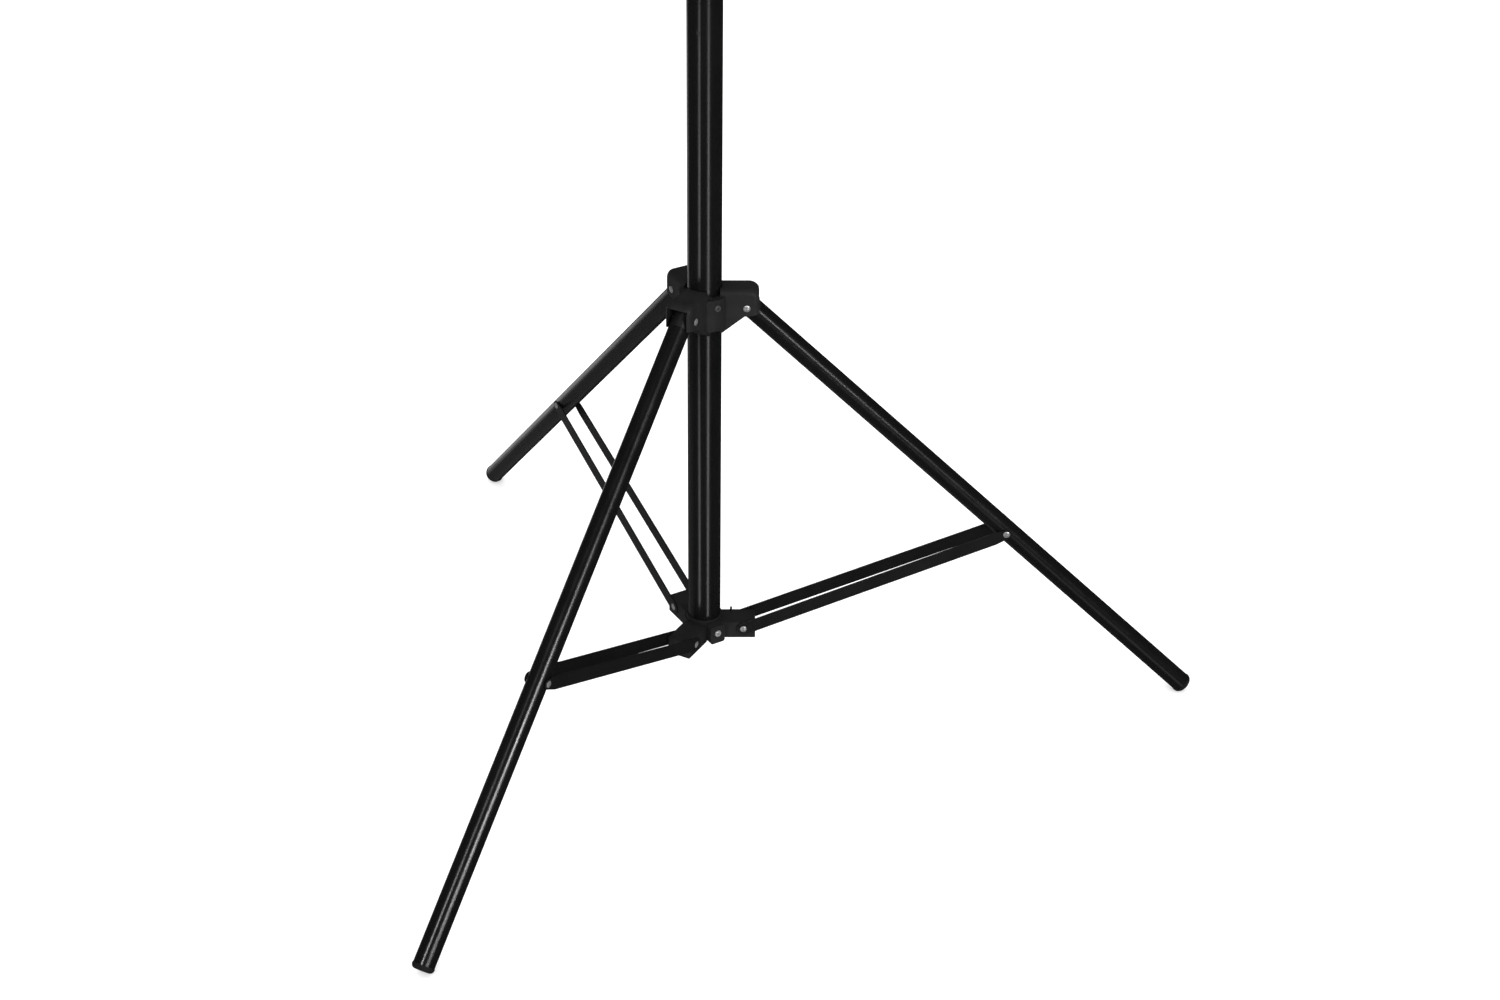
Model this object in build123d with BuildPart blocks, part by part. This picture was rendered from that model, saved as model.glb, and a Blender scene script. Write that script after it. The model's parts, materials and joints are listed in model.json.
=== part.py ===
from build123d import *
import os
from math import sin, cos, tan, radians, degrees, atan2, asin, hypot, sqrt

os.makedirs("parts", exist_ok=True)

# Speaker tripod stand, in millimetres. +Z is up, the origin is on the floor on the mast's axis.
# Legs stand at azimuth 0, 120 and 240 degrees. One leg set is drawn at azimuth 0, in the XZ
# plane, and is copied round the mast.

# ---------------------------------------------------------------- driving dimensions
LEG_AZIMUTHS = (0, 120, 240)

mast_r = 20.0  # 40 mm steel tube
mast_ri = 18.5
mast_bottom_z = 93.5
mast_top_z = 1045.0

pole_r = 17.5  # the standard 35 mm speaker pole
pole_ri = 15.7
pole_bottom_z = 250.0
pole_top_z = 1226.0
pole_cap_t = 4.0
pin_hole_r = 3.25
pin_pitch = 90.0
pin_holes = 7
groove_z = 1086.0  # insertion mark that starts the free end of the pole
groove_w = 2.0
groove_d = 0.5

leg_r = 12.5  # 25 mm steel tube
leg_ri = 11.3
leg_angle = 43.86  # below horizontal, opened
leg_end = 780.9  # pivot to the outside of the foot cap
cap_r = 13.0
cap_edge = 5.0  # rounding of the foot cap's end
cap_flange = 6.5  # the cap's part outside the tube
cap_spigot = 18.0

pivot_r = 48.6  # hub pivots and lower collar pivots, from the mast's axis
strut_on_leg = 443.8  # hub pivot to strut pivot, along the leg
strut_len = 347.9  # lower pivot to strut pivot

bar_w = 17.0  # flat strut bars
bar_t = 1.6
bar_tip_r = 6.2  # the bar narrows to this at the leg
bar_taper = 16.0
bar_in_collar = 15.5  # inner face of a bar at the lower collar
bar_in_leg = 12.8  # inner face of a bar at the leg

rivet_r = 3.0
rivet_head_r = 4.2
rivet_head_h = 1.4
run = 0.05  # running clearance on a radius

hub_r = 30.0
hub_up = 15.0
hub_down = 25.0
hub_bush_r = 22.0
ear_in = 12.8
ear_out = 17.0
hood_top = 23.2
hood_in = 16.5
hood_out_r = 64.5
hood_round = 13.0
hood_soft = 8.0
ear_bottom = 7.5
web_bottom = 31.0  # lowest point of the webs, at the mast
web_gap = 0.6  # hood and mast
leg_head = 13.0  # end of the leg's top fitting head, from the pivot

low_r = 24.0
low_up = 9.5
low_down = 13.5
sleeve_r = 22.3
sleeve_up = 15.0
arm_half = 15.2
arm_out_r = 63.5
arm_up = 8.7
arm_down = 13.2
boss_out_r = 33.6  # screw boss of the lower collar
boss_half = 10.0
boss_up = 12.0
boss_down = 12.0
boss_screw_dz = 2.0

screw_az = 300
knob_az = 60
hub_knob_dz = -19.0

clamp_r = 27.0
clamp_bottom_z = 1012.0
clamp_top_z = 1075.0
clamp_knob_z = 1060.0
clamp_bolt_z = 1027.0
clamp_bolt_x = -35.0

# ---------------------------------------------------------------- derived positions
a = radians(leg_angle)
hub_z = (leg_end - cap_edge) * sin(a) + (cap_r - cap_edge) * cos(a) + cap_edge
strut_r = pivot_r + strut_on_leg * cos(a)
strut_z = hub_z - strut_on_leg * sin(a)
strut_dx = strut_r - pivot_r
strut_dz = sqrt(strut_len**2 - strut_dx**2)
low_z = strut_z - strut_dz
strut_angle = degrees(atan2(strut_dz, strut_dx))
pin_z = clamp_top_z + 0.4 + 3.0

hub_pivot = Vector(pivot_r, 0, hub_z)
low_pivot = Vector(pivot_r, 0, low_z)
strut_pivot = Vector(strut_r, 0, strut_z)
leg_dir = Vector(cos(a), 0, -sin(a))

print("hub pivot z", round(hub_z, 3), "lower pivot z", round(low_z, 3))
print("strut pivot", round(strut_r, 3), round(strut_z, 3), "strut angle", round(strut_angle, 3))

# Across the leg at a pivot: local x is along +Y, so pins are revolved about local x.
across_hub = Plane(origin=hub_pivot, x_dir=(0, 1, 0), z_dir=(0, 0, 1))
across_low = Plane(origin=low_pivot, x_dir=(0, 1, 0), z_dir=(0, 0, 1))
across_strut = Plane(origin=strut_pivot, x_dir=(0, 1, 0), z_dir=(0, 0, 1))

# Along the leg: local z runs down the leg, local x is along +Y, local y is the leg's upper side.
leg_plane = Plane(origin=hub_pivot, x_dir=(0, 1, 0), z_dir=leg_dir)

# Side views: local x is radial, local y is up, the normal is -Y.
side_hub = Plane(origin=hub_pivot, x_dir=(1, 0, 0), z_dir=(0, -1, 0))
side_low = Plane(origin=low_pivot, x_dir=(1, 0, 0), z_dir=(0, -1, 0))
side_strut = Plane(origin=strut_pivot, x_dir=(1, 0, 0), z_dir=(0, -1, 0))


def radial(az, z):
    """A plane at the mast's axis that faces outwards at this azimuth, with local y up."""
    c, s = cos(radians(az)), sin(radians(az))
    return Plane(origin=(0, 0, z), x_dir=(-s, c, 0), z_dir=(c, s, 0))


def save(piece, name):
    piece.label = name
    export_step(piece, f"parts/{name}.step")


def save_three(piece, name):
    """The piece drawn at azimuth 0, copied to each of the three legs."""
    for n, az in enumerate(LEG_AZIMUTHS, 1):
        save(piece.rotate(Axis.Z, az), f"{name}_{n}")


# ================================================================ mast and what is fixed to it
with BuildPart() as mast_tube:
    with BuildSketch(Plane.XY.offset(mast_bottom_z)):
        Circle(mast_r)
        Circle(mast_ri, mode=Mode.SUBTRACT)
    extrude(amount=mast_top_z - mast_bottom_z)
    # hole of the collar screw
    with BuildSketch(radial(screw_az, low_z + boss_screw_dz).offset(15)):
        Circle(2.05)
    extrude(amount=8, mode=Mode.SUBTRACT)
    # hole of the guide bush rivet
    with BuildSketch(radial(250, 880).offset(15)):
        Circle(1.6)
    extrude(amount=8, mode=Mode.SUBTRACT)
    with BuildSketch(radial(250, 880).offset(mast_r - 0.9)):
        Circle(2.4)
    extrude(amount=4, mode=Mode.SUBTRACT)
mast_tube.part.label = "mast_tube"
export_step(mast_tube.part, "parts/mast_tube.step")

with BuildPart() as mast_bottom_plug:
    with BuildSketch(Plane.XY.offset(mast_bottom_z)):
        Circle(mast_ri)
    extrude(amount=24)
    with BuildSketch(Plane.XY.offset(mast_bottom_z + 6)):
        Circle(8.5)
    extrude(amount=20, mode=Mode.SUBTRACT)
    chamfer(mast_bottom_plug.edges().group_by(Axis.Z)[-1].sort_by(SortBy.LENGTH)[-1], 1.0)
    with BuildSketch(radial(screw_az, low_z + boss_screw_dz).offset(9)):
        Circle(2.05)
    extrude(amount=12, mode=Mode.SUBTRACT)
mast_bottom_plug.part.label = "mast_bottom_plug"
export_step(mast_bottom_plug.part, "parts/mast_bottom_plug.step")

with BuildPart() as mast_guide_bush:
    with BuildSketch(Plane.XY.offset(868)):
        Circle(mast_ri)
        Circle(pole_r + run, mode=Mode.SUBTRACT)
    extrude(amount=24)
    with BuildSketch(radial(250, 880).offset(15)):
        Circle(1.6)
    extrude(amount=8, mode=Mode.SUBTRACT)
mast_guide_bush.part.label = "mast_guide_bush"
export_step(mast_guide_bush.part, "parts/mast_guide_bush.step")

with BuildPart() as guide_bush_rivet:
    with BuildSketch(radial(250, 880).offset(pole_r + run + 0.25)):
        Circle(1.6)
    extrude(amount=mast_r - pole_r - run - 0.5)
    # sunk head, below the mast's surface
    with BuildSketch(radial(250, 880).offset(mast_r - 0.9)):
        Circle(2.4)
    extrude(amount=0.7)
guide_bush_rivet.part.label = "guide_bush_rivet"
export_step(guide_bush_rivet.part, "parts/guide_bush_rivet.step")

with BuildPart() as mast_top_bush:
    with BuildSketch(Plane.XY.offset(mast_top_z - 32)):
        Circle(mast_ri)
        Circle(pole_r + run, mode=Mode.SUBTRACT)
    extrude(amount=32)
mast_top_bush.part.label = "mast_top_bush"
export_step(mast_top_bush.part, "parts/mast_top_bush.step")

# ---------------------------------------------------------------- lower collar with three arms
with BuildPart() as lower_collar:
    with BuildSketch(Plane.XY.offset(low_z - low_down)):
        Circle(low_r)
    extrude(amount=low_up + low_down)
    chamfer(lower_collar.edges().group_by(Axis.Z)[0], 1.2)
    with BuildSketch(Plane.XY.offset(low_z)):
        Circle(sleeve_r)
    extrude(amount=sleeve_up)
    fillet(lower_collar.edges().group_by(Axis.Z)[-1], 0.9)
    with BuildSketch(Plane.XY.offset(low_z - arm_down)):
        with PolarLocations(0, 3):
            with Locations(((20 + arm_out_r) / 2, 0)):
                Rectangle(arm_out_r - 20, 2 * arm_half)
    extrude(amount=arm_up + arm_down)
    arm_tips = (
        lower_collar.edges()
        .filter_by(Axis.Z)
        .filter_by(lambda e: hypot(e.center().X, e.center().Y) > arm_out_r - 5)
    )
    fillet(arm_tips, 1.6)
    # boss of the collar screw
    with BuildSketch(radial(screw_az, low_z + (boss_up - boss_down) / 2).offset(18)):
        RectangleRounded(2 * boss_half, boss_up + boss_down, 3.0)
    extrude(amount=boss_out_r - 18)
    # small upright nib on the first arm
    with BuildSketch(Plane.XY.offset(low_z)):
        with Locations((33.5, 11.0)):
            Circle(1.3)
    extrude(amount=15.0)
    # lightening pocket under each arm, clear of the rivet
    with BuildSketch(Plane.XY.offset(low_z - arm_down)):
        with PolarLocations(0, 3):
            with Locations((37, 0)):
                Rectangle(9, 19)
    extrude(amount=5.5, mode=Mode.SUBTRACT)
    # socket of the mast, with a ledge under the tube
    with BuildSketch(Plane.XY.offset(mast_bottom_z)):
        Circle(mast_r)
    extrude(amount=60, mode=Mode.SUBTRACT)
    with BuildSketch(Plane.XY.offset(low_z - low_down - 1)):
        Circle(14.0)
    extrude(amount=20, mode=Mode.SUBTRACT)
    # rivet bores
    for az in LEG_AZIMUTHS:
        t = radians(az)
        with BuildSketch(
            Plane(
                origin=(pivot_r * cos(t), pivot_r * sin(t), low_z),
                x_dir=(0, 0, 1),
                z_dir=(-sin(t), cos(t), 0),
            )
        ):
            Circle(rivet_r + run)
        extrude(amount=30, both=True, mode=Mode.SUBTRACT)
    # screw hole with a spot face
    with BuildSketch(radial(screw_az, low_z + boss_screw_dz).offset(15)):
        Circle(2.05)
    extrude(amount=20, mode=Mode.SUBTRACT)
    with BuildSketch(radial(screw_az, low_z + boss_screw_dz).offset(boss_out_r - 0.8)):
        Circle(4.8)
    extrude(amount=5, mode=Mode.SUBTRACT)
lower_collar.part.label = "lower_collar"
export_step(lower_collar.part, "parts/lower_collar.step")


def pan_screw(plane, head_r, head_h, shank_r, shank_l):
    """Pan-head screw with a cross recess. The plane lies under the head and faces outwards."""
    with BuildPart() as screw:
        with BuildSketch(plane):
            Circle(head_r)
        extrude(amount=head_h)
        top = screw.faces().filter_by(GeomType.PLANE).sort_by(Axis(plane.origin, plane.z_dir))[-1]
        fillet(top.edges(), head_h * 0.55)
        with BuildSketch(plane):
            Circle(shank_r)
        extrude(amount=-shank_l)
        with BuildSketch(plane.offset(head_h)):
            Rectangle(head_r * 0.95, head_r * 0.24)
            Rectangle(head_r * 0.24, head_r * 0.95)
        extrude(amount=-head_h * 0.55, mode=Mode.SUBTRACT)
    return screw.part


lower_collar_screw = pan_screw(radial(screw_az, low_z + boss_screw_dz).offset(boss_out_r - 0.8), 4.2, 2.8, 2.0, 20.0)
save(lower_collar_screw, "lower_collar_screw")

# ---------------------------------------------------------------- clamp collar at the mast's top
with BuildPart() as clamp_collar:
    with BuildSketch(Plane.XY.offset(clamp_bottom_z)):
        Circle(clamp_r)
    extrude(amount=clamp_top_z - clamp_bottom_z)
    fillet(clamp_collar.edges().group_by(Axis.Z)[-1], 3.0)
    fillet(clamp_collar.edges().group_by(Axis.Z)[0], 2.0)
    # boss of the clamp knob
    with BuildSketch(radial(0, clamp_knob_z).offset(16)):
        Circle(12.5)
    extrude(amount=20)
    boss_rim = clamp_collar.edges().filter_by(GeomType.CIRCLE).sort_by(Axis.X)[-1]
    fillet(boss_rim, 1.5)
    # pinch lugs
    with BuildSketch(Plane.XY.offset(clamp_bottom_z + 4)):
        with Locations((-34, 0)):
            Rectangle(26, 24)
    extrude(amount=22)
    lug_edges = (
        clamp_collar.edges().filter_by(Axis.Y).filter_by(lambda e: e.center().X < -45)
    )
    fillet(lug_edges, 6.0)
    # bores: the mast below, the pole above
    with BuildSketch(Plane.XY.offset(clamp_bottom_z - 1)):
        Circle(mast_r)
    extrude(amount=mast_top_z - clamp_bottom_z + 1, mode=Mode.SUBTRACT)
    with BuildSketch(Plane.XY.offset(mast_top_z - 1)):
        Circle(pole_r + run)
    extrude(amount=60, mode=Mode.SUBTRACT)
    # pinch slot
    with BuildSketch(Plane.XY.offset(clamp_bottom_z - 1)):
        with Locations((-34, 0)):
            Rectangle(32, 3.2)
    extrude(amount=31, mode=Mode.SUBTRACT)
    # bolt hole
    with BuildSketch(Plane(origin=(clamp_bolt_x, 0, clamp_bolt_z), x_dir=(1, 0, 0), z_dir=(0, 1, 0))):
        Circle(3.2)
    extrude(amount=30, both=True, mode=Mode.SUBTRACT)
    # shoe pocket and stud bore
    with BuildSketch(radial(0, clamp_knob_z).offset(10)):
        Circle(8.05)
    extrude(amount=14, mode=Mode.SUBTRACT)
    with BuildSketch(radial(0, clamp_knob_z).offset(20)):
        Circle(4.05)
    extrude(amount=30, mode=Mode.SUBTRACT)
clamp_collar.part.label = "clamp_collar"
export_step(clamp_collar.part, "parts/clamp_collar.step")

with BuildPart() as clamp_bolt:
    bolt_plane = Plane(origin=(clamp_bolt_x, 12.0, clamp_bolt_z), x_dir=(1, 0, 0), z_dir=(0, 1, 0))
    with BuildSketch(bolt_plane):
        Circle(6.2)
    extrude(amount=1.2)
    with BuildSketch(bolt_plane.offset(1.2)):
        RegularPolygon(5.77, 6)
    extrude(amount=4.0)
    with BuildSketch(bolt_plane):
        Circle(3.0)
    extrude(amount=-32.0)
    chamfer(clamp_bolt.edges().filter_by(GeomType.CIRCLE).sort_by(Axis.Y)[0], 0.6)
clamp_bolt.part.label = "clamp_bolt"
export_step(clamp_bolt.part, "parts/clamp_bolt.step")

with BuildPart() as clamp_nut:
    nut_plane = Plane(origin=(clamp_bolt_x, -12.0, clamp_bolt_z), x_dir=(1, 0, 0), z_dir=(0, -1, 0))
    with BuildSketch(nut_plane):
        RegularPolygon(5.77, 6)
    extrude(amount=5.0)
    with BuildSketch(nut_plane.offset(5.0)):
        Circle(4.4)
    extrude(amount=1.2)
    with BuildSketch(nut_plane):
        Circle(3.0)
    extrude(amount=8.0, mode=Mode.SUBTRACT)
clamp_nut.part.label = "clamp_nut"
export_step(clamp_nut.part, "parts/clamp_nut.step")

# ================================================================ clamp shoe, stud and knob
with BuildPart() as clamp_shoe:
    with BuildSketch(radial(0, clamp_knob_z).offset(14)):
        Circle(8.0)
    extrude(amount=7.6)
    with BuildSketch(Plane.XY.offset(clamp_knob_z - 20)):
        Circle(pole_r + run)
    extrude(amount=40, mode=Mode.SUBTRACT)
clamp_shoe.part.label = "clamp_shoe"
export_step(clamp_shoe.part, "parts/clamp_shoe.step")

with BuildPart() as clamp_stud:
    with BuildSketch(radial(0, clamp_knob_z).offset(21.7)):
        Circle(4.0)
    extrude(amount=30.0)
    chamfer(clamp_stud.edges().sort_by(Axis.X)[0], 0.8)
clamp_stud.part.label = "clamp_stud"
export_step(clamp_stud.part, "parts/clamp_stud.step")

with BuildPart() as clamp_knob:
    with BuildSketch(radial(0, clamp_knob_z).offset(42)):
        Circle(15.5)
        with PolarLocations(16.0, 5, start_angle=90):
            Circle(6.5)
    extrude(amount=17)
    crown = clamp_knob.faces().sort_by(Axis.X)[-1]
    chamfer(crown.edges(), 1.8)
    with BuildSketch(radial(0, clamp_knob_z).offset(38.5)):
        Circle(10.0)
    extrude(amount=4)
    with BuildSketch(radial(0, clamp_knob_z).offset(59)):
        Circle(9.0)
    extrude(amount=3)
    cap_rim = clamp_knob.faces().sort_by(Axis.X)[-1]
    fillet(cap_rim.edges(), 1.4)
    with BuildSketch(radial(0, clamp_knob_z).offset(38)):
        Circle(4.0)
    extrude(amount=13.7, mode=Mode.SUBTRACT)
clamp_knob.part.label = "clamp_knob"
export_step(clamp_knob.part, "parts/clamp_knob.step")

# ================================================================ pole
with BuildPart() as pole_tube:
    with BuildSketch(Plane.XY.offset(pole_bottom_z)):
        Circle(pole_r)
        Circle(pole_ri, mode=Mode.SUBTRACT)
    extrude(amount=pole_top_z - pole_bottom_z)
    # insertion mark: a shallow groove
    with BuildSketch(Plane.XY.offset(groove_z)):
        Circle(pole_r + 2)
        Circle(pole_r - groove_d, mode=Mode.SUBTRACT)
    extrude(amount=groove_w, mode=Mode.SUBTRACT)
    # cross holes for the locking pin
    for k in range(pin_holes):
        with BuildSketch(
            Plane(origin=(0, 0, pin_z - k * pin_pitch), x_dir=(1, 0, 0), z_dir=(0, -1, 0))
        ):
            Circle(pin_hole_r)
        extrude(amount=30, both=True, mode=Mode.SUBTRACT)
    # hole of the guide's rivet
    with BuildSketch(radial(270, 262).offset(10)):
        Circle(1.6)
    extrude(amount=10, mode=Mode.SUBTRACT)
pole_tube.part.label = "pole_tube"
export_step(pole_tube.part, "parts/pole_tube.step")

with BuildPart() as pole_top_cap:
    with BuildSketch(Plane.XY.offset(pole_top_z)):
        Circle(pole_r)
    extrude(amount=pole_cap_t)
    fillet(pole_top_cap.edges().group_by(Axis.Z)[-1], 2.6)
    with BuildSketch(Plane.XY.offset(pole_top_z)):
        Circle(pole_ri)
        Circle(pole_ri - 2.5, mode=Mode.SUBTRACT)
    extrude(amount=-18)
pole_top_cap.part.label = "pole_top_cap"
export_step(pole_top_cap.part, "parts/pole_top_cap.step")

with BuildPart() as pole_bottom_guide:
    with BuildSketch(Plane.XY.offset(pole_bottom_z - 22)):
        Circle(mast_ri - run)
    extrude(amount=22)
    chamfer(pole_bottom_guide.edges().group_by(Axis.Z)[0], 1.0)
    with BuildSketch(Plane.XY.offset(pole_bottom_z)):
        Circle(pole_ri)
    extrude(amount=26)
    with BuildSketch(Plane.XY.offset(pole_bottom_z - 18)):
        Circle(11)
    extrude(amount=60, mode=Mode.SUBTRACT)
    with BuildSketch(radial(270, 262).offset(10)):
        Circle(1.6)
    extrude(amount=10, mode=Mode.SUBTRACT)
pole_bottom_guide.part.label = "pole_bottom_guide"
export_step(pole_bottom_guide.part, "parts/pole_bottom_guide.step")

with BuildPart() as pole_guide_rivet:
    with BuildSketch(radial(270, 262).offset(11.5)):
        Circle(1.6)
    extrude(amount=6.0)
    with BuildSketch(radial(270, 262).offset(pole_r)):
        Circle(2.6)
    extrude(amount=0.7)
pole_guide_rivet.part.label = "pole_guide_rivet"
export_step(pole_guide_rivet.part, "parts/pole_guide_rivet.step")

# ================================================================ locking pin with its pull ring
pin_eye_y = -38.0
ring_r = 13.0
ring_wire_r = 1.2

with BuildPart() as locking_pin:
    with BuildSketch(Plane(origin=(0, 25, pin_z), x_dir=(1, 0, 0), z_dir=(0, -1, 0))):
        Circle(3.0)
    extrude(amount=55)
    chamfer(locking_pin.edges().sort_by(Axis.Y)[-1], 1.0)
    with BuildSketch(Plane(origin=(0, -28, pin_z), x_dir=(1, 0, 0), z_dir=(0, -1, 0))):
        Circle(4.6)
    extrude(amount=5.5)
    # flat tab with the eye of the ring
    with BuildSketch(Plane(origin=(0, pin_eye_y, pin_z), x_dir=(0, 1, 0), z_dir=(1, 0, 0))):
        SlotCenterPoint((2.5, 0), (0, 0), 8.6)
        Circle(1.9, mode=Mode.SUBTRACT)
    extrude(amount=1.5, both=True)
locking_pin.part.label = "locking_pin"
export_step(locking_pin.part, "parts/locking_pin.step")

with BuildPart() as locking_pin_ring:
    with BuildSketch(Plane(origin=(0, pin_eye_y, pin_z), x_dir=(0, 1, 0), z_dir=(1, 0, 0))):
        Circle(ring_wire_r)
    revolve(axis=Axis((0, pin_eye_y, pin_z - ring_r), (0, 1, 0)), revolution_arc=360)
locking_pin_ring.part.label = "locking_pin_ring"
export_step(locking_pin_ring.part, "parts/locking_pin_ring.step")

# ================================================================ hub
with BuildPart() as hub:
    with BuildSketch(Plane.XY.offset(hub_z - hub_down)):
        Circle(hub_r)
    extrude(amount=hub_up + hub_down)
    fillet(hub.edges().group_by(Axis.Z)[-1], 1.5)
    fillet(hub.edges().group_by(Axis.Z)[0], 1.5)
    # hooded arms: a side profile with a rounded outer corner, extruded across the leg
    for az in LEG_AZIMUTHS:
        t = radians(az)
        side = Plane(
            origin=(pivot_r * cos(t), pivot_r * sin(t), hub_z),
            x_dir=(cos(t), sin(t), 0),
            z_dir=(sin(t), -cos(t), 0),
        )
        with BuildSketch(side):
            with BuildLine():
                FilletPolyline(
                    (18 - pivot_r, hood_top),
                    (hood_out_r - pivot_r, hood_top),
                    (hood_out_r - pivot_r, -ear_bottom),
                    radius=hood_round,
                )
                Polyline(
                    (hood_out_r - pivot_r, -ear_bottom),
                    (46 - pivot_r, -ear_bottom - 2.5),
                    (20 - pivot_r, -web_bottom),
                    (18 - pivot_r, -web_bottom),
                    (18 - pivot_r, hood_top),
                )
            make_face()
        extrude(amount=ear_out, both=True)
    # soften the hood's long edges and the sides of its front
    hood_edges = []
    for az in LEG_AZIMUTHS:
        c, n = cos(radians(az)), sin(radians(az))
        hood_edges += [
            e
            for e in hub.edges()
            if e.center().Z > hub_z - 3
            and e.center().X * c + e.center().Y * n > hub_r + 3
            and abs(e.center().Y * c - e.center().X * n) > ear_out - 1.0
        ]
    fillet(hood_edges, hood_soft)
    # room for the leg under each hood, and the rivet bore
    for az in LEG_AZIMUTHS:
        t = radians(az)
        side = Plane(
            origin=(pivot_r * cos(t), pivot_r * sin(t), hub_z),
            x_dir=(cos(t), sin(t), 0),
            z_dir=(sin(t), -cos(t), 0),
        )
        with BuildSketch(side):
            with BuildLine():
                Polyline(
                    (hub_r + 1.2 - pivot_r, -40),
                    (hub_r + 1.2 - pivot_r, 6),
                    (hub_r + 8 - pivot_r, hood_in),
                    (30, hood_in),
                    (30, -40),
                    close=True,
                )
            make_face()
        extrude(amount=ear_in, both=True, mode=Mode.SUBTRACT)
        with BuildSketch(side):
            Circle(rivet_r)
        extrude(amount=40, both=True, mode=Mode.SUBTRACT)
    # boss of the hub knob
    with BuildSketch(radial(knob_az, hub_z + hub_knob_dz).offset(24)):
        Circle(8.0)
    extrude(amount=11)
    # bore of the liner, and a clear bore above it
    with BuildSketch(Plane.XY.offset(hub_z - 40)):
        Circle(hub_bush_r)
    extrude(amount=40 + hub_up, mode=Mode.SUBTRACT)
    with BuildSketch(Plane.XY.offset(hub_z + hub_up)):
        Circle(mast_r + web_gap)
    extrude(amount=30, mode=Mode.SUBTRACT)
    # shoe pocket and stud bore
    with BuildSketch(radial(knob_az, hub_z + hub_knob_dz).offset(15)):
        Circle(5.05)
    extrude(amount=11, mode=Mode.SUBTRACT)
    with BuildSketch(radial(knob_az, hub_z + hub_knob_dz).offset(22)):
        Circle(3.05)
    extrude(amount=30, mode=Mode.SUBTRACT)
    # screw hole with a spot face
    with BuildSketch(radial(screw_az, hub_z + 5).offset(15)):
        Circle(2.05)
    extrude(amount=20, mode=Mode.SUBTRACT)
    with BuildSketch(radial(screw_az, hub_z + 5).offset(29.2)):
        Circle(4.6)
    extrude(amount=6, mode=Mode.SUBTRACT)
hub.part.label = "hub"
export_step(hub.part, "parts/hub.step")

with BuildPart() as hub_liner:
    with BuildSketch(Plane.XY.offset(hub_z - hub_down)):
        Circle(hub_bush_r)
        Circle(mast_r + run, mode=Mode.SUBTRACT)
    extrude(amount=hub_up + hub_down)
    with BuildSketch(radial(knob_az, hub_z + hub_knob_dz).offset(15)):
        Circle(5.05)
    extrude(amount=11, mode=Mode.SUBTRACT)
    with BuildSketch(radial(screw_az, hub_z + 5).offset(20.9)):
        Circle(2.05)
    extrude(amount=5, mode=Mode.SUBTRACT)
hub_liner.part.label = "hub_liner"
export_step(hub_liner.part, "parts/hub_liner.step")

hub_screw = pan_screw(radial(screw_az, hub_z + 5).offset(29.2), 4.0, 2.4, 2.0, 8.1)
save(hub_screw, "hub_screw")


def dome_profile(base, head_r, head_h, way):
    """Points of a spherical rivet head: rim, middle of the arc, tip. way is 1 or -1 along local x."""
    ball = (head_r**2 + head_h**2) / (2 * head_h)
    half_angle = asin(head_r / ball) / 2
    middle = (
        base + way * (head_h - ball + ball * cos(half_angle)),
        ball * sin(half_angle),
    )
    return (base, head_r), middle, (base + way * head_h, 0)


def dome_rivet(plane, half, shank_r, head_r, head_h):
    """Rivet with a domed head at each end, revolved about the plane's local x."""
    rim_a, mid_a, tip_a = dome_profile(half, head_r, head_h, 1)
    rim_b, mid_b, tip_b = dome_profile(-half, head_r, head_h, -1)
    with BuildPart() as rivet:
        with BuildSketch(plane):
            with BuildLine():
                Line((half, shank_r), rim_a)
                ThreePointArc(rim_a, mid_a, tip_a)
                Line(tip_a, tip_b)
                ThreePointArc(tip_b, mid_b, rim_b)
                Polyline(rim_b, (-half, shank_r), (half, shank_r))
            make_face()
        revolve(axis=Axis(plane.origin, plane.x_dir), revolution_arc=360)
    return rivet.part


hub_rivet = dome_rivet(across_hub, ear_out, rivet_r, rivet_head_r, rivet_head_h)
leg_pivot_rivets = Compound(
    children=[hub_rivet.rotate(Axis.Z, az) for az in LEG_AZIMUTHS]
)
save(leg_pivot_rivets, "leg_pivot_rivets")

with BuildPart() as hub_shoe:
    with BuildSketch(radial(knob_az, hub_z + hub_knob_dz).offset(16)):
        Circle(5.0)
    extrude(amount=7.6)
    with BuildSketch(Plane.XY.offset(hub_z + hub_knob_dz - 20)):
        Circle(mast_r + run)
    extrude(amount=40, mode=Mode.SUBTRACT)
hub_shoe.part.label = "hub_shoe"
export_step(hub_shoe.part, "parts/hub_shoe.step")

with BuildPart() as hub_stud:
    with BuildSketch(radial(knob_az, hub_z + hub_knob_dz).offset(23.7)):
        Circle(3.0)
    extrude(amount=21.0)
hub_stud.part.label = "hub_stud"
export_step(hub_stud.part, "parts/hub_stud.step")

with BuildPart() as hub_knob:
    with BuildSketch(radial(knob_az, hub_z + hub_knob_dz).offset(39)):
        Circle(8.8)
        with PolarLocations(8.6, 4, start_angle=45):
            Circle(4.2)
    extrude(amount=13)
    out = Axis((0, 0, hub_z + hub_knob_dz), (cos(radians(knob_az)), sin(radians(knob_az)), 0))
    chamfer(hub_knob.faces().sort_by(out)[-1].edges(), 1.2)
    with BuildSketch(radial(knob_az, hub_z + hub_knob_dz).offset(36.6)):
        Circle(6.5)
    extrude(amount=2.6)
    with BuildSketch(radial(knob_az, hub_z + hub_knob_dz).offset(36)):
        Circle(3.0)
    extrude(amount=8.7, mode=Mode.SUBTRACT)
hub_knob.part.label = "hub_knob"
export_step(hub_knob.part, "parts/hub_knob.step")

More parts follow.
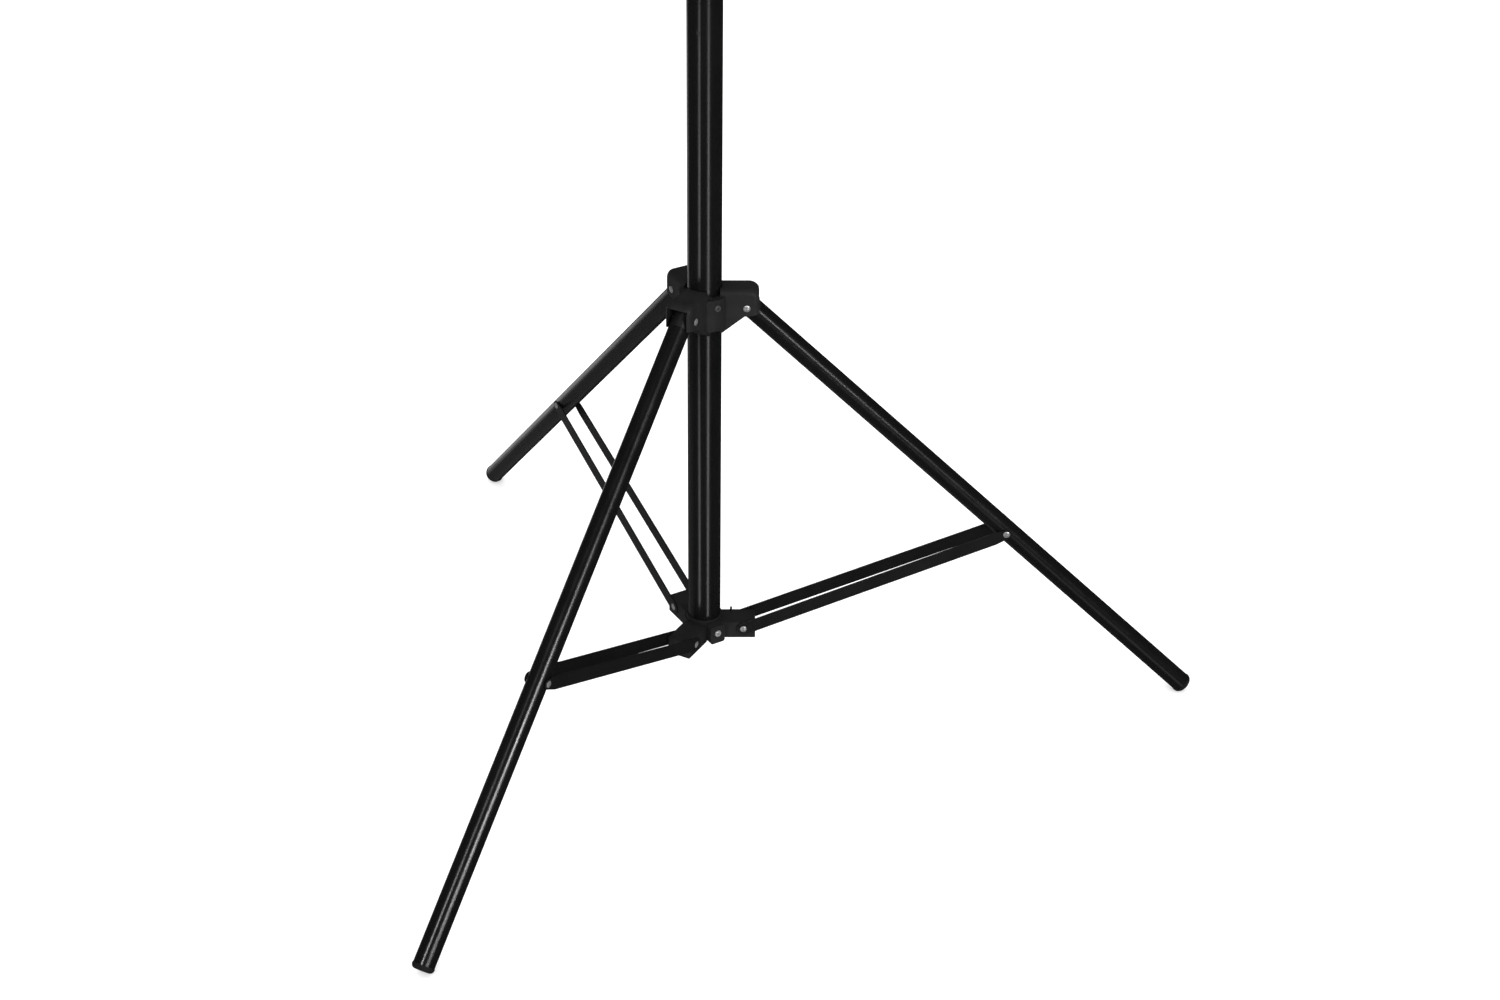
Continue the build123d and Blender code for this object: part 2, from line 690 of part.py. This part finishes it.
# ================================================================ legs
with BuildPart() as leg_tube:
    with BuildSketch(leg_plane.offset(leg_head)):
        Circle(leg_r)
        Circle(leg_ri, mode=Mode.SUBTRACT)
    extrude(amount=leg_end - cap_flange - leg_head)
    with BuildSketch(side_strut):
        Circle(rivet_r)
    extrude(amount=20, both=True, mode=Mode.SUBTRACT)
    with BuildSketch(side_hub):
        with Locations((28 * cos(a), -28 * sin(a))):
            Circle(1.6)
    extrude(amount=20, both=True, mode=Mode.SUBTRACT)
save_three(leg_tube.part, "leg_tube")

with BuildPart() as leg_top_plug:
    with BuildSketch(leg_plane.offset(-leg_r)):
        Circle(leg_r)
    extrude(amount=leg_head + leg_r)
    with BuildSketch(side_hub):
        Circle(leg_r)
        with Locations((14 * cos(a), -14 * sin(a))):
            Rectangle(28, 2 * leg_r, rotation=-leg_angle)
    extrude(amount=20, both=True, mode=Mode.INTERSECT)
    with BuildSketch(leg_plane.offset(leg_head)):
        Circle(leg_ri)
    extrude(amount=30)
    with BuildSketch(side_hub):
        Circle(rivet_r + run)
        with Locations((28 * cos(a), -28 * sin(a))):
            Circle(1.6)
    extrude(amount=20, both=True, mode=Mode.SUBTRACT)
save_three(leg_top_plug.part, "leg_top_plug")

with BuildPart() as leg_plug_pin:
    with BuildSketch(side_hub):
        with Locations((28 * cos(a), -28 * sin(a))):
            Circle(1.6)
    extrude(amount=leg_r - 0.2, both=True)
save_three(leg_plug_pin.part, "leg_plug_pin")

with BuildPart() as leg_foot_cap:
    with BuildSketch(leg_plane.offset(leg_end - cap_flange)):
        Circle(cap_r)
    extrude(amount=cap_flange)
    down = Axis(hub_pivot, leg_dir)
    fillet(leg_foot_cap.faces().sort_by(down)[-1].edges(), cap_edge)
    chamfer(leg_foot_cap.faces().sort_by(down)[0].edges(), 0.3)
    with BuildSketch(leg_plane.offset(leg_end - cap_flange)):
        Circle(leg_ri)
        Circle(leg_ri - 2.6, mode=Mode.SUBTRACT)
    extrude(amount=-cap_spigot)
save_three(leg_foot_cap.part, "leg_foot_cap")

# the strut rivet's shank, through the leg and flush with it
with BuildPart() as strut_rivet_shank:
    with BuildSketch(side_strut):
        Circle(rivet_r)
    extrude(amount=leg_r + 0.05, both=True)
save_three(strut_rivet_shank.part, "strut_rivet_shank")

# ================================================================ struts
def strut_bar(side):
    """A flat bar from the lower collar to the leg; side is 1 on +Y and -1 on -Y."""
    p0 = Vector(pivot_r, side * (bar_in_collar + bar_t / 2), low_z)
    p1 = Vector(strut_r, side * (bar_in_leg + bar_t / 2), strut_z)
    along = (p1 - p0).normalized()
    flat = (Vector(0, 1, 0) - along * along.Y).normalized()
    mid = (p0 + p1) * 0.5
    with BuildPart() as bar:
        with BuildSketch(Plane(origin=mid, x_dir=along, z_dir=flat)):
            with Locations((-(p1 - p0).length / 2, 0)):
                Circle(bar_w / 2)
            with Locations((-bar_taper / 2, 0)):
                Rectangle((p1 - p0).length - bar_taper, bar_w)
            with BuildLine():
                Polyline(
                    ((p1 - p0).length / 2 - bar_taper, -bar_w / 2),
                    ((p1 - p0).length / 2 + 0.89, -bar_tip_r + 0.064),
                    ((p1 - p0).length / 2 + 0.89, bar_tip_r - 0.064),
                    ((p1 - p0).length / 2 - bar_taper, bar_w / 2),
                    close=True,
                )
            make_face()
            with Locations(((p1 - p0).length / 2, 0)):
                Circle(bar_tip_r)
            with Locations(((p1 - p0).length / 2, 0), (-(p1 - p0).length / 2, 0)):
                Circle(rivet_r + run, mode=Mode.SUBTRACT)
        extrude(amount=bar_t / 2, both=True)
        chamfer(bar.edges().filter_by(Plane(origin=mid, x_dir=along, z_dir=flat)), 0.25)
    return bar.part


save_three(strut_bar(1), "strut_bar_left")
save_three(strut_bar(-1), "strut_bar_right")

collar_rivet = dome_rivet(
    across_low, bar_in_collar + bar_t + run, rivet_r, rivet_head_r, rivet_head_h
)
save_three(collar_rivet, "strut_collar_rivet")

# the strut rivet's two heads, each with the stub that fills its bar
with BuildPart() as head_pair:
    for side in (1, -1):
        inner = side * (bar_in_leg + run)
        outer = side * (bar_in_leg + bar_t + run)
        rim, middle, tip = dome_profile(outer, rivet_head_r, rivet_head_h, side)
        with BuildSketch(across_strut):
            with BuildLine():
                Polyline((inner, 0), (inner, rivet_r), (outer, rivet_r), rim)
                ThreePointArc(rim, middle, tip)
                Line(tip, (inner, 0))
            make_face()
        revolve(axis=Axis(strut_pivot, (0, 1, 0)), revolution_arc=360)
save_three(head_pair.part, "strut_rivet_heads")
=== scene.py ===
import bpy
import bmesh
import json
from math import radians, degrees, sin, cos, pi, sqrt, atan2
from mathutils import Vector, Matrix


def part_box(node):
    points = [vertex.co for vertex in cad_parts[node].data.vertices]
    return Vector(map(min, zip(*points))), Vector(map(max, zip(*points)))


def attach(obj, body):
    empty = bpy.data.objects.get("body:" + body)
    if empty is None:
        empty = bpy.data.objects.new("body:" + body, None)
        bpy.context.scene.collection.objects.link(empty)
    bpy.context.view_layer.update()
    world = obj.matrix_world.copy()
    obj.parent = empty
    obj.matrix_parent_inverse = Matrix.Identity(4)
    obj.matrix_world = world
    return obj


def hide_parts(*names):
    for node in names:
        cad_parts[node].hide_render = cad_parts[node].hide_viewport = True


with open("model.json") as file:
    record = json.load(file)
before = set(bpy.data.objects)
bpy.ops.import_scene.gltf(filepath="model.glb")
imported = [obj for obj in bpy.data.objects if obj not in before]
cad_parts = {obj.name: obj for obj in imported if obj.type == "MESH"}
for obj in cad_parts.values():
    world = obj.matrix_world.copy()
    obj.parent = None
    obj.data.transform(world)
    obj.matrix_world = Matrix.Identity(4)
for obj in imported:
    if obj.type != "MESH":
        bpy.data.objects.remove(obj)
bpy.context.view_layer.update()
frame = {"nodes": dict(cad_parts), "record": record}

scene = bpy.context.scene
NODES = frame["nodes"]

# ------------------------------------------------------------------ materials
def new_mat(name):
    m = bpy.data.materials.new(name)
    m.use_nodes = True
    nt = m.node_tree
    for n in list(nt.nodes):
        nt.nodes.remove(n)
    out = nt.nodes.new("ShaderNodeOutputMaterial")
    p = nt.nodes.new("ShaderNodeBsdfPrincipled")
    nt.links.new(p.outputs["BSDF"], out.inputs["Surface"])
    return m, nt, p


def coords(nt, scale=(1, 1, 1)):
    tc = nt.nodes.new("ShaderNodeTexCoord")
    mp = nt.nodes.new("ShaderNodeMapping")
    mp.inputs["Scale"].default_value = scale
    nt.links.new(tc.outputs["Object"], mp.inputs["Vector"])
    return mp.outputs["Vector"]


def noise(nt, vec, scale, detail=4.0, rough=0.55, distortion=0.0):
    n = nt.nodes.new("ShaderNodeTexNoise")
    n.inputs["Scale"].default_value = scale
    n.inputs["Detail"].default_value = detail
    n.inputs["Roughness"].default_value = rough
    n.inputs["Distortion"].default_value = distortion
    nt.links.new(vec, n.inputs["Vector"])
    return n.outputs["Fac"]


def ramp(nt, fac, stops, linear=True):
    r = nt.nodes.new("ShaderNodeValToRGB")
    r.color_ramp.interpolation = "LINEAR" if linear else "EASE"
    el = r.color_ramp.elements
    while len(el) > 1:
        el.remove(el[-1])
    el[0].position = stops[0][0]
    el[0].color = stops[0][1]
    for pos, col in stops[1:]:
        e = el.new(pos)
        e.color = col
    nt.links.new(fac, r.inputs["Fac"])
    return r.outputs["Color"]


def span(nt, fac, lo, hi, a=0.0, b=1.0):
    m = nt.nodes.new("ShaderNodeMapRange")
    m.inputs["From Min"].default_value = a
    m.inputs["From Max"].default_value = b
    m.inputs["To Min"].default_value = lo
    m.inputs["To Max"].default_value = hi
    nt.links.new(fac, m.inputs["Value"])
    return m.outputs["Result"]


def bump(nt, height, strength, distance, after=None):
    b = nt.nodes.new("ShaderNodeBump")
    b.inputs["Strength"].default_value = strength
    b.inputs["Distance"].default_value = distance
    nt.links.new(height, b.inputs["Height"])
    if after is not None:
        nt.links.new(after, b.inputs["Normal"])
    return b.outputs["Normal"]


def mix(nt, fac, a, b):
    m = nt.nodes.new("ShaderNodeMix")
    m.data_type = "RGBA"
    nt.links.new(fac, m.inputs["Factor"])
    for sock, v in ((m.inputs[6], a), (m.inputs[7], b)):
        if isinstance(v, tuple):
            sock.default_value = v
        else:
            nt.links.new(v, sock)
    return m.outputs[2]


def grey(v, warm=0.0):
    return (v * (1 + warm), v, v * (1 - warm), 1.0)


def paint(name, tone, rough, spec, peel=1.0):
    """Gloss powder coat on steel tube: slight orange peel, faint dust and handling marks in the gloss."""
    m, nt, p = new_mat(name)
    vec = coords(nt)
    fine = noise(nt, vec, 620.0, 3.0, 0.5)
    broad = noise(nt, vec, 14.0, 4.0, 0.6)
    specks = noise(nt, vec, 1900.0, 2.0, 0.5)
    tonefac = span(nt, broad, 0.0, 1.0, 0.3, 0.7)
    base = mix(nt, tonefac, grey(tone * 0.82, -0.01), grey(tone * 1.2, 0.01))
    dust = ramp(nt, specks, [(0.70, grey(0.0)), (0.80, grey(0.35))])
    base = mix(nt, dust, base, grey(tone * 2.6))
    nt.links.new(base, p.inputs["Base Color"])
    marks = noise(nt, coords(nt, (1, 1, 0.25)), 46.0, 5.0, 0.62)
    nt.links.new(span(nt, marks, rough * 0.82, rough * 1.30, 0.3, 0.75), p.inputs["Roughness"])
    n = bump(nt, fine, 0.10 * peel, 0.0004)
    nt.links.new(n, p.inputs["Normal"])
    p.inputs["Specular IOR Level"].default_value = spec
    p.inputs["Coat Weight"].default_value = 0.0
    return m


def moulding(name, tone, rough, spec, grain=1.0, scale=1500.0):
    """Glass-filled nylon: fine spark-eroded grain, slight flow mottling."""
    m, nt, p = new_mat(name)
    vec = coords(nt)
    mott = noise(nt, vec, 34.0, 5.0, 0.6, 0.4)
    base = mix(nt, span(nt, mott, 0.0, 1.0, 0.3, 0.72), grey(tone * 0.80), grey(tone * 1.25, 0.015))
    nt.links.new(base, p.inputs["Base Color"])
    g = noise(nt, vec, scale, 3.0, 0.6)
    nt.links.new(span(nt, g, rough * 0.88, rough * 1.16, 0.25, 0.75), p.inputs["Roughness"])
    n = bump(nt, g, 0.35 * grain, 0.00012)
    nt.links.new(n, p.inputs["Normal"])
    p.inputs["Specular IOR Level"].default_value = spec
    return m


def steel(name, tone, rough, metal=1.0):
    """Zinc-plated steel with fine drawing marks and a slight spangle."""
    m, nt, p = new_mat(name)
    vec = coords(nt)
    cloud = noise(nt, vec, 260.0, 4.0, 0.6)
    base = mix(nt, span(nt, cloud, 0.0, 1.0, 0.3, 0.7), (tone * 0.82, tone * 0.83, tone * 0.85, 1), (tone * 1.08, tone * 1.07, tone * 1.04, 1))
    nt.links.new(base, p.inputs["Base Color"])
    p.inputs["Metallic"].default_value = metal
    fine = noise(nt, coords(nt, (1, 1, 3.0)), 900.0, 3.0, 0.5)
    nt.links.new(span(nt, fine, rough * 0.8, rough * 1.35, 0.3, 0.7), p.inputs["Roughness"])
    nt.links.new(bump(nt, fine, 0.12, 0.00006), p.inputs["Normal"])
    return m


def rubber(name, tone):
    m, nt, p = new_mat(name)
    vec = coords(nt)
    scuff = noise(nt, vec, 120.0, 6.0, 0.65, 0.6)
    base = mix(nt, ramp(nt, scuff, [(0.52, grey(0.0)), (0.74, grey(0.8))]), grey(tone), grey(tone * 2.2, 0.03))
    nt.links.new(base, p.inputs["Base Color"])
    g = noise(nt, vec, 1700.0, 2.0, 0.5)
    nt.links.new(span(nt, g, 0.62, 0.82, 0.25, 0.75), p.inputs["Roughness"])
    nt.links.new(bump(nt, g, 0.3, 0.00012), p.inputs["Normal"])
    p.inputs["Specular IOR Level"].default_value = 0.35
    return m


MAT = {
    "mast_paint": paint("mast_powder_coat", 0.0030, 0.21, 0.50),
    "pole_paint": paint("pole_powder_coat", 0.0030, 0.21, 0.50),
    "leg_paint": paint("leg_powder_coat", 0.0030, 0.21, 0.50),
    "strut_paint": paint("strut_powder_coat", 0.0038, 0.34, 0.45),
    "casting": moulding("nylon_moulding", 0.0100, 0.50, 0.20),
    "plug_plastic": moulding("plug_plastic_black", 0.004, 0.42, 0.45, 0.6),
    "liner_plastic": moulding("acetal_liner", 0.008, 0.45, 0.4, 0.4),
    "knob_plastic": moulding("knob_plastic_black", 0.006, 0.44, 0.45, 1.0, 1200.0),
    "foot_rubber": rubber("foot_cap_rubber", 0.0035),
    "rivet_steel": steel("rivet_zinc", 0.54, 0.31, 0.85),
    "screw_dark": steel("screw_black_oxide", 0.05, 0.38, 0.2),
    "screw_steel": steel("screw_zinc", 0.62, 0.34, 0.75),
}
SLOT = {s["node"]: s["material_slot"] for s in frame["record"]["subparts"]}

for name, obj in NODES.items():
    mat = MAT[SLOT[name]]
    obj.data.materials.clear()
    obj.data.materials.append(mat)

# ------------------------------------------------------------------ split ring of the locking pin
def tube_mesh(name, pts, r, sides=14):
    """A round wire through pts, with rounded ends."""
    bm = bmesh.new()
    rings = []
    n = len(pts)
    for i, q in enumerate(pts):
        t = (pts[min(i + 1, n - 1)] - pts[max(i - 1, 0)]).normalized()
        u = t.cross(Vector((0, 1, 0)))
        u = u.normalized() if u.length > 1e-6 else Vector((0, 0, 1))
        v = t.cross(u)
        k = min(1.0, 0.35 + 0.65 * min(i, n - 1 - i) / 3)
        rings.append([bm.verts.new(q + (u * cos(2 * pi * j / sides) + v * sin(2 * pi * j / sides)) * r * k) for j in range(sides)])
    for a, b in zip(rings, rings[1:]):
        for j in range(sides):
            f = bm.faces.new((a[j], a[(j + 1) % sides], b[(j + 1) % sides], b[j]))
            f.smooth = True
    bm.faces.new(list(reversed(rings[0])))
    bm.faces.new(rings[-1])
    bmesh.ops.recalc_face_normals(bm, faces=bm.faces)
    me = bpy.data.meshes.new(name)
    bm.to_mesh(me)
    bm.free()
    ob = bpy.data.objects.new(name, me)
    scene.collection.objects.link(ob)
    return ob


ring_lo, ring_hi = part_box("locking_pin_ring")
ring_c = (Vector(ring_lo) + Vector(ring_hi)) / 2
ring_R = (ring_hi[2] - ring_lo[2]) / 2 - 0.0012
wire = 0.00062
turns = []
for i in range(0, 289):
    th = radians(200 + i * 2.45)
    turns.append(ring_c + Vector((ring_R * cos(th), 0.00062 - 0.00124 * i / 288, ring_R * sin(th))))
split_ring = tube_mesh("split_ring", turns, wire)
split_ring.data.materials.append(MAT["screw_steel"])
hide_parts("locking_pin_ring")
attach(split_ring, "pin_ring")

# ------------------------------------------------------------------ camera
cam_data = bpy.data.cameras.new("camera")
cam = bpy.data.objects.new("camera", cam_data)
scene.collection.objects.link(cam)
cam_data.sensor_fit = "HORIZONTAL"
cam_data.sensor_width = 36.0
cam_data.lens = 2401.919 / 1500 * 36.0
cam_data.dof.use_dof = False
pitch, yaw, roll = radians(31.0317), radians(1.3653), radians(0.6991)
fwd = Vector((sin(yaw) * cos(pitch), cos(yaw) * cos(pitch), -sin(pitch)))
right = fwd.cross(Vector((0, 0, 1))).normalized()
up = right.cross(fwd)
r2 = right * cos(roll) + up * sin(roll)
u2 = -right * sin(roll) + up * cos(roll)
rot = Matrix((r2, u2, -fwd)).transposed().to_4x4()
cam.matrix_world = Matrix.Translation((-0.004140, -2.495786, 1.783870)) @ rot
cam_data.clip_end = 60
scene.camera = cam
bpy.context.scene.camera = cam

# ------------------------------------------------------------------ floor, backdrop and lights
def stage_mesh(name, bm, mat):
    me = bpy.data.meshes.new(name)
    bm.to_mesh(me)
    bm.free()
    me.materials.append(mat)
    ob = bpy.data.objects.new(name, me)
    scene.collection.objects.link(ob)
    return ob


def floor_mat():
    m, nt, p = new_mat("studio_floor")
    vec = coords(nt)
    n = noise(nt, vec, 3.0, 4.0, 0.5)
    nt.links.new(mix(nt, n, (0.86, 0.86, 0.865, 1), (0.90, 0.90, 0.90, 1)), p.inputs["Base Color"])
    p.inputs["Roughness"].default_value = 0.9
    p.inputs["Specular IOR Level"].default_value = 0.0
    p.inputs["Emission Color"].default_value = (1, 1, 1, 1)
    p.inputs["Emission Strength"].default_value = 0.30
    return m


def glow_mat(name, strength):
    m = bpy.data.materials.new(name)
    m.use_nodes = True
    nt = m.node_tree
    for n in list(nt.nodes):
        nt.nodes.remove(n)
    out = nt.nodes.new("ShaderNodeOutputMaterial")
    e = nt.nodes.new("ShaderNodeEmission")
    e.inputs["Color"].default_value = (1, 1, 1, 1)
    e.inputs["Strength"].default_value = strength
    nt.links.new(e.outputs[0], out.inputs["Surface"])
    return m


bm = bmesh.new()
bmesh.ops.create_circle(bm, cap_ends=True, segments=96, radius=9.0)
floor = stage_mesh("studio_floor", bm, floor_mat())
floor.visible_glossy = False
floor.visible_shadow = False

bm = bmesh.new()
bmesh.ops.create_uvsphere(bm, u_segments=64, v_segments=32, radius=9.0)
dome = stage_mesh("studio_dome", bm, glow_mat("studio_dome_glow", 1.0))
dome.visible_glossy = False
dome.visible_shadow = False
for f in dome.data.polygons:
    f.use_smooth = True

world = bpy.data.worlds.new("studio")
scene.world = world
world.use_nodes = True
world.node_tree.nodes["Background"].inputs["Color"].default_value = (1, 1, 1, 1)
world.node_tree.nodes["Background"].inputs["Strength"].default_value = 0.025


def area(name, loc, target, size_x, size_y, power, spread=180):
    d = bpy.data.lights.new(name, "AREA")
    d.shape = "RECTANGLE"
    d.size, d.size_y = size_x, size_y
    d.energy = power
    d.spread = radians(spread)
    o = bpy.data.objects.new(name, d)
    scene.collection.objects.link(o)
    o.location = loc
    v = Vector(target) - Vector(loc)
    o.rotation_euler = v.to_track_quat("-Z", "Y").to_euler()
    o.visible_camera = False
    return o


def softbox(name, az, low, high, width, radiance, dist=6.0, away=(0.0, 0.0)):
    """An upright softbox that faces the stand, from height low to high; az is measured from -Y towards +X."""
    a = radians(az)
    x, y = away[0] + dist * sin(a), away[1] - dist * cos(a)
    mid = (low + high) / 2
    return area(name, (x, y, mid), (away[0], away[1], mid), width, high - low, radiance * width * (high - low))


# long reflections on the mast: two low softboxes, left and right
softbox("mast_left_box", -34.0, -4.4, -1.05, 1.20, 9.0)
softbox("mast_right_box", 25.5, -4.4, -1.05, 1.05, 11.5)
# the first leg's upper half
softbox("leg_right_box", 40.5, 1.34, 1.66, 0.60, 62.0)
softbox("leg_right_box_dim", 42.0, 1.10, 1.34, 0.60, 14.0)
# the front leg's right side: brightest in the middle
softbox("front_leg_box_low", 36.0, 1.76, 2.22, 0.60, 11.0)
softbox("front_leg_box_mid", 36.0, 2.22, 2.90, 0.85, 78.0)
softbox("front_leg_box_main", 31.0, 2.90, 3.60, 0.85, 120.0)
softbox("front_leg_box_upper", 32.0, 3.60, 4.60, 0.80, 6.5)
softbox("front_leg_box_high", 33.0, 4.60, 6.60, 0.75, 3.0)
# the front leg's left side, near its foot
softbox("front_leg_left_box", -27.0, 4.60, 5.80, 0.95, 122.0, away=(-0.27, -0.47))
# wide glow from behind on the rear leg's left side, and a faint one from below on the rest of it
softbox("rear_box", -147.0, -1.1, -0.3, 1.3, 2.3, dist=3.0, away=(-0.19, 0.33))
softbox("rear_box_dim", -131.0, -1.5, -0.6, 0.7, 1.0, dist=3.0, away=(-0.19, 0.33))
area("rear_fill", (-1.19, 0.69, -1.48), (-0.19, 0.33, 0.22), 2.4, 2.4, 1.4)
# a gauze flag in front of the first leg's lower half thins the right softbox's reflection there
gauze = bpy.data.materials.new("gauze_flag")
gauze.use_nodes = True
gt = gauze.node_tree
for n in list(gt.nodes):
    gt.nodes.remove(n)
g_out = gt.nodes.new("ShaderNodeOutputMaterial")
g_mix = gt.nodes.new("ShaderNodeMixShader")
g_mix.inputs["Fac"].default_value = 0.85
g_clear = gt.nodes.new("ShaderNodeBsdfTransparent")
g_black = gt.nodes.new("ShaderNodeBsdfDiffuse")
g_black.inputs["Color"].default_value = (0.0, 0.0, 0.0, 1)
gt.links.new(g_clear.outputs[0], g_mix.inputs[1])
gt.links.new(g_black.outputs[0], g_mix.inputs[2])
gt.links.new(g_mix.outputs[0], g_out.inputs["Surface"])
bm = bmesh.new()
bm.faces.new([bm.verts.new(v) for v in ((0.18, -0.25, -0.05), (0.80, -0.25, -0.60), (0.80, -0.25, -0.06), (0.18, -0.25, 0.42))])
flag = stage_mesh("gauze_flag", bm, gauze)
flag.visible_camera = False
flag.visible_diffuse = False
flag.visible_shadow = False

top = area("top_soft", (0.0, -0.2, 3.6), (0, 0, 0.3), 3.4, 3.4, 26)
top.visible_glossy = False

scene.view_settings.view_transform = "Standard"
scene.view_settings.look = "None"
scene.view_settings.exposure = 0.0
scene.view_settings.gamma = 1.0
